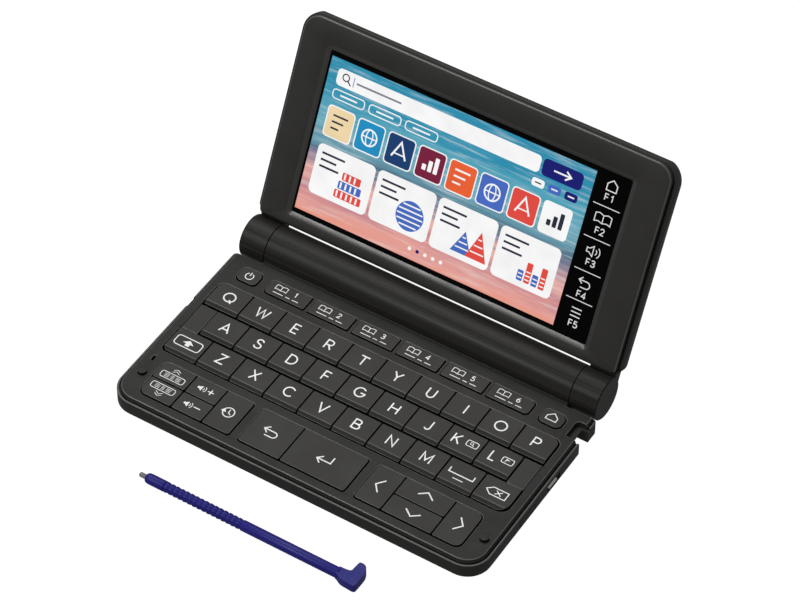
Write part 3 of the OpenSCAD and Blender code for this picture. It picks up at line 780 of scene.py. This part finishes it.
sky = Build(lid)
sky.prism([(SX0, SS0), (SX1, SS0), (SX1, SS1), (SX0, SS1)], H - 0.01, H + 0.004)
sky.make("screen_background", "lid", [sky_material()])

card_w = glow("screen_white", srgb(246, 246, 246))
card_b = glow("screen_dark_blue", srgb(22, 26, 110))
card_c = glow("screen_blue", srgb(70, 105, 190))
card_r = glow("screen_red", srgb(224, 74, 64))
card_g = glow("screen_grey", srgb(120, 126, 140))
card_k = glow("screen_ink", srgb(40, 44, 60))
card_y = glow("screen_sand", srgb(238, 214, 170))
card_t = glow("screen_teal", srgb(30, 140, 190))
card_o = glow("screen_orange", srgb(232, 96, 50))
card_n = glow("screen_navy", srgb(24, 60, 110))
card_m = glow("screen_maroon", srgb(120, 30, 60))
UI = [card_w, card_b, card_c, card_r, card_g, card_k, card_y, card_t, card_o, card_n, card_m]
W, DB, BL, RD, GR, KI, SA, TE, OR, NA, MA = range(11)
ui = Build(lid)
L1, L2, L3 = (H, H + 0.012), (H + 0.005, H + 0.018), (H + 0.01, H + 0.024)


def rect(x0, s0, x1, s1, r, mat, lv):
    ui.prism(round_rect(x0, s0, x1, s1, r), lv[0], lv[1], mat)


def rule(x0, x1, s, w, mat, lv):
    ui.stroke([(x0, s), (x1, s)], w, lv[0], lv[1], False, mat)


# search bar across the top, with a dark-blue button at its right end and a row of small chips under it
rect(-56.5, 66.2, 26.0, 72.6, 1.6, W, L1)
rect(26.9, 66.2, 42.6, 72.6, 1.6, DB, L1)
ui.stroke(ring(-52.9, 69.9, 1.3, 1.3, 20), 0.45, *L2, True, KI)
ui.stroke([(-51.9, 68.9), (-50.6, 67.6)], 0.5, *L2, False, KI)
rule(-48.4, -30.0, 69.4, 0.7, GR, L2)
ui.stroke([(-49.6, 67.6), (-49.6, 71.2)], 0.3, *L2, False, BL)
ui.stroke([(31.4, 69.4), (38.2, 69.4)], 0.6, *L2, False, W)
ui.stroke([(36.1, 71.0), (38.2, 69.4), (36.1, 67.8)], 0.6, *L2, False, W)
for i, (w, m) in enumerate(((13, W), (13, W), (13, W))):
    x = -56.5 + i * 15
    ui.stroke(round_rect(x, 61.2, x + w, 64.6, 1.2), 0.4, *L1, True, W)
    rule(x + 3, x + w - 3, 62.9, 0.6, W, L1)
for i in range(3):
    rect(24.5 + i * 6.5, 61.4, 29.4 + i * 6.5, 64.4, 0.9, (W, BL, DB)[i], L1)
    rule(25.7 + i * 6.5, 28.2 + i * 6.5, 62.9, 0.5, (KI, W, W)[i], L2)

# a row of small coloured tiles
tiles = [SA, TE, NA, MA, OR, BL, RD, W]
for i, m in enumerate(tiles):
    x = -56.8 + i * 12.55
    rect(x, 46.6, x + 11.3, 58.6, 1.5, W, L1)
    rect(x + 0.45, 47.05, x + 10.85, 58.15, 1.2, m, L2)
    dark = m in (SA, W)
    c = KI if dark else W
    k = i % 4
    if k == 0:
        for j in range(3):
            rule(x + 2.6, x + 8.7 - j * 1.4, 55.2 - j * 2.4, 0.7, c, L3)
    elif k == 1:
        ui.stroke(ring(x + 5.65, 52.6, 3.0, 3.0, 24), 0.6, *L3, True, c)
        ui.stroke([(x + 2.7, 52.6), (x + 8.6, 52.6)], 0.45, *L3, False, c)
        ui.stroke(ring(x + 5.65, 52.6, 1.3, 3.0, 20), 0.4, *L3, True, c)
    elif k == 2:
        ui.stroke([(x + 2.8, 50.0), (x + 5.65, 56.0), (x + 8.5, 50.0)], 0.7, *L3, False, c)
        rule(x + 3.6, x + 7.7, 51.4, 0.5, c, L3)
    else:
        for j in range(3):
            rect(x + 2.6 + j * 2.3, 50.0, x + 4.2 + j * 2.3, 52.2 + j * 1.9, 0.3, c, L3)

# four white cards with striped pictures
for i in range(4):
    x = -56.8 + i * 25.1
    rect(x, 24.4, x + 23.9, 43.6, 2.0, W, L1)
    for j, ln in enumerate((9.5, 6.5, 8.0)):
        rule(x + 2.0, x + 2.0 + ln, 40.4 - j * 2.5, 0.8, KI, L2)
    cx, cs = x + 15.6, 31.6
    if i == 0:                                   # stack of striped books
        for j, (m, m2, ww) in enumerate(((RD, W, 11), (BL, W, 9.4), (RD, W, 7.6))):
            s = 26.6 + j * 3.5
            rect(cx - ww / 2, s, cx + ww / 2, s + 3.0, 0.5, m, L2)
            for q in range(int(ww / 2)):
                rect(cx - ww / 2 + 0.8 + q * 2, s + 0.35, cx - ww / 2 + 1.5 + q * 2, s + 2.65, 0.1, m2, L3)
    elif i == 1:                                 # striped disc
        ui.prism(ring(cx, cs, 5.6, 5.6, 40), *L2, BL)
        for q in range(-2, 3):
            hw = math.sqrt(5.2 ** 2 - (q * 1.9) ** 2)
            rule(cx - hw, cx + hw, cs + q * 1.9, 0.55, W, L3)
    elif i == 2:                                 # striped hills
        for ox, hh, m in ((-3.0, 8.6, BL), (3.0, 10.8, RD)):
            ui.prism([(cx + ox - 4.2, 26.6), (cx + ox + 4.2, 26.6), (cx + ox, 26.6 + hh)], *(L2 if ox < 0 else L3), m)
            for q in range(1, 4):
                f = q / 4.2
                zz = (H + 0.012, H + 0.026) if ox < 0 else (H + 0.016, H + 0.03)
                ui.stroke([(cx + ox - 4.2 * (1 - f) + 0.5, 26.6 + hh * f), (cx + ox + 4.2 * (1 - f) - 0.5, 26.6 + hh * f)],
                          0.5, *zz, False, W)
    else:                                        # striped columns
        for q in range(4):
            m = RD if q % 2 else BL
            rect(cx - 5.6 + q * 2.9, 26.6, cx - 3.3 + q * 2.9, 30.6 + (q * 3.7) % 7.1, 0.4, m, L2)
            for w in range(2 + q % 2):
                rule(cx - 5.3 + q * 2.9, cx - 3.6 + q * 2.9, 27.8 + w * 1.5, 0.45, W, L3)

# page dots at the foot
for i in range(5):
    ui.prism(ring(-13.0 + i * 3.2, 20.4, 0.7, 0.7, 16), *L1, W if i != 1 else DB)
ui.make("screen_picture", "lid", UI)

# strip of touch symbols at the right of the lit area
strip = Build(lid)
mark_m = glow("strip_white", srgb(225, 225, 225), 0.95)
zs = (H, H + 0.014)
cx = 53.3
for i, (cs, lab) in enumerate(((72.7, 68.3), (60.3, 55.7), (47.9, 43.6), (35.5, 31.3), (24.4, 20.1))):
    if i:
        strip.stroke([(48.1, cs + 4.55), (58.4, cs + 4.55)], 0.3, *zs)
    if i == 0:                                   # house
        strip.stroke([(cx - 1.9, cs - 1.9), (cx - 1.9, cs + 0.5), (cx, cs + 2.1), (cx + 1.9, cs + 0.5),
                      (cx + 1.9, cs - 1.9)], 0.4, *zs, True)
    elif i == 1:                                 # open book
        for q in (-1, 1):
            strip.stroke([(cx, cs - 1.7), (cx + q * 1.6, cs - 1.2), (cx + q * 3.1, cs - 1.6), (cx + q * 3.1, cs + 1.5),
                          (cx + q * 1.6, cs + 1.9), (cx, cs + 1.3)], 0.34, *zs)
        strip.stroke([(cx, cs - 1.7), (cx, cs + 1.3)], 0.34, *zs)
    elif i == 2:                                 # loudspeaker
        strip.stroke([(cx - 2.6, cs - 0.75), (cx - 1.6, cs - 0.75), (cx - 0.2, cs - 1.9), (cx - 0.2, cs + 1.9),
                      (cx - 1.6, cs + 0.75), (cx - 2.6, cs + 0.75)], 0.36, *zs, True)
        strip.stroke(arc(cx, cs, 1.2, 1.2, -50, 50, 8), 0.34, *zs)
        strip.stroke(arc(cx, cs, 2.4, 2.4, -50, 50, 10), 0.34, *zs)
    elif i == 3:                                 # turned arrow
        strip.stroke([(cx - 2.1, cs + 1.0), (cx + 0.9, cs + 1.0)] + arc(cx + 0.9, cs - 0.3, 1.3, 1.3, 90, -90, 10)[1:]
                     + [(cx - 1.2, cs - 1.6)], 0.38, *zs)
        strip.stroke([(cx - 0.9, cs + 2.2), (cx - 2.2, cs + 1.0), (cx - 0.9, cs - 0.2)], 0.38, *zs)
    else:                                        # three lines
        for q in (-1.5, 0, 1.5):
            strip.stroke([(cx - 1.9, cs + q), (cx + 1.9, cs + q)], 0.4, *zs)
    glyph(strip, "F", cx - 0.95, lab, 2.3, 0.38, *zs)
    glyph(strip, str(i + 1), cx + 1.0, lab, 2.3, 0.38, *zs)
strip.make("screen_strip", "lid", [mark_m])

# ---------------------------------------------------------------- stylus
SY, SZ = -69.3, 1.95


def revolve(prof, seg, mat_of):
    """Turns [(radius, x)] about the stylus axis; mat_of gives the slot for each band."""
    v, f, m = [], [], []
    for r, x in prof:
        for i in range(seg):
            a = 2 * math.pi * i / seg
            v.append(((x) * MM, (SY + r * math.cos(a)) * MM, (SZ + r * math.sin(a)) * MM))
    for j in range(len(prof) - 1):
        for i in range(seg):
            a, b = j * seg + i, j * seg + (i + 1) % seg
            f.append([a, b, b + seg, a + seg])
            m.append(mat_of(j))
    f.append(list(range(seg))[::-1])
    m.append(mat_of(0))
    n = (len(prof) - 1) * seg
    f.append(list(range(n, n + seg)))
    m.append(mat_of(len(prof) - 2))
    return v, f, m


prof = [(0.02, -46.2), (0.3, -46.17), (0.56, -46.08), (0.76, -45.9), (0.88, -45.6), (0.9, -45.3), (0.9, -43.5),
        (0.95, -43.42), (1.2, -43.36), (1.45, -43.2), (1.7, -42.9), (1.87, -42.4), (1.94, -41.8), (1.95, -41.2),
        (1.95, -35.75), (1.9, -35.62), (1.62, -35.56), (1.6, -35.45)]
tip_bands = 7
for i in range(16):
    x = -35.3 + 1.95 * i
    prof += [(1.58, x - 0.02), (1.86, x + 0.02), (1.94, x + 0.1), (1.95, x + 0.25), (1.9, x + 0.75), (1.63, x + 1.78)]
prof += [(1.6, -4.15), (1.88, -4.08), (1.95, -3.95), (1.95, 34.3), (1.85, 34.6)]
v, f, m = revolve(prof, 40, lambda j: 1 if j < tip_bands else 0)
# L-shaped head
outline = [(33.6, -70.74), (34.4, -70.94), (35.4, -71.54), (36.3, -71.94), (37.4, -72.14), (39.4, -72.26), (41, -72.38),
           (41.7, -72.3), (42.1, -72.02), (42.3, -71.54), (42.4, -69.02), (42.38, -66.23), (42.2, -65.21), (41.8, -64.19),
           (41.2, -63.25), (40.5, -62.7), (39.7, -62.48), (38.9, -62.48), (38.4, -62.7), (38.15, -63.16), (38, -64.84),
           (37.9, -66.51), (37.6, -67.07), (36.9, -67.39), (35.4, -67.53), (33.6, -67.58)]
n0 = len(v)
n = len(outline)
v += [(x * MM, y * MM, 0.05 * MM) for x, y in outline] + [(x * MM, y * MM, 3.55 * MM) for x, y in outline]
f.append([n0 + i for i in range(n)][::-1])
f.append([n0 + n + i for i in range(n)])
m += [0, 0]
for i in range(n):
    j = (i + 1) % n
    f.append([n0 + i, n0 + j, n0 + n + j, n0 + n + i])
    m.append(0)
me = bpy.data.meshes.new("stylus_body")
me.from_pydata(v, [], f)
me.materials.append(stylus_m)
me.materials.append(tip_m)
me.polygons.foreach_set("material_index", m)
me.polygons.foreach_set("use_smooth", [True] * len(f))
me.update()
st = bpy.data.objects.new("stylus_body", me)
bpy.context.scene.collection.objects.link(st)
bv = st.modifiers.new("soft_edges", "BEVEL")
bv.width = 0.55 * MM
bv.segments = 4
bv.limit_method = "ANGLE"
bv.angle_limit = math.radians(60)
bv.harden_normals = True
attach(st, "stylus")
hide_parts("stylus")

# ---------------------------------------------------------------- stage, light, camera
sc = bpy.context.scene
bpy.ops.mesh.primitive_plane_add(size=6, location=(0, 0, -0.0001))
floor = bpy.context.object
floor.name = "floor"
fm, fnt, fbs = new_mat("pale_floor")
fbs.inputs["Base Color"].default_value = (0.1, 0.1, 0.1, 1)
fbs.inputs["Roughness"].default_value = 0.9
fbs.inputs["Specular IOR Level"].default_value = 0.1
fbs.inputs["Emission Color"].default_value = (1, 1, 1, 1)
lp = fnt.nodes.new("ShaderNodeLightPath")
lm = fnt.nodes.new("ShaderNodeMath")
lm.operation = "MULTIPLY_ADD"
lm.inputs[1].default_value = 0.8
lm.inputs[2].default_value = 0.2
fnt.links.new(lp.outputs["Is Camera Ray"], lm.inputs[0])
fnt.links.new(lm.outputs[0], fbs.inputs["Emission Strength"])
floor.data.materials.append(fm)

world = bpy.data.worlds.new("studio")
sc.world = world
world.use_nodes = True
world.node_tree.nodes["Background"].inputs["Color"].default_value = (1, 1, 1, 1)
world.node_tree.nodes["Background"].inputs["Strength"].default_value = 0.25


def area(name, loc, target, size, power):
    d = bpy.data.lights.new(name, "AREA")
    d.shape = "RECTANGLE"
    d.size, d.size_y = size
    d.energy = power
    o = bpy.data.objects.new(name, d)
    o.location = loc
    o.rotation_mode = "QUATERNION"
    o.rotation_quaternion = (Vector(target) - Vector(loc)).to_track_quat("-Z", "Y")
    sc.collection.objects.link(o)
    return o


area("key_light", (-0.45, 0.36, 1.06), (0, 0, 0.01), (0.8, 0.6), 5.0)
area("front_light", (-0.43, -0.77, 0.82), (0, 0.04, 0.04), (0.35, 0.35), 3.9)

az, el, roll = math.radians(31.971), math.radians(47.072), math.radians(0.298)
back = Vector((math.sin(az) * math.cos(el), -math.cos(az) * math.cos(el), math.sin(el)))
right = Vector((math.cos(az), math.sin(az), 0))
up = back.cross(right)
c, s = math.cos(roll), math.sin(roll)
r2, u2 = c * right + s * up, -s * right + c * up
loc = Vector((-0.015428, 0.047683, 0)) + back * 1.252046
cam = bpy.data.cameras.new("camera")
cam.sensor_width = 36
cam.sensor_fit = "HORIZONTAL"
cam.lens = 158.318
cam.clip_start, cam.clip_end = 0.05, 50
co = bpy.data.objects.new("camera", cam)
co.matrix_world = Matrix(((r2.x, u2.x, back.x, loc.x), (r2.y, u2.y, back.y, loc.y),
                          (r2.z, u2.z, back.z, loc.z), (0, 0, 0, 1)))
sc.collection.objects.link(co)
sc.camera = co
sc.view_settings.view_transform = "Standard"
sc.view_settings.look = "None"
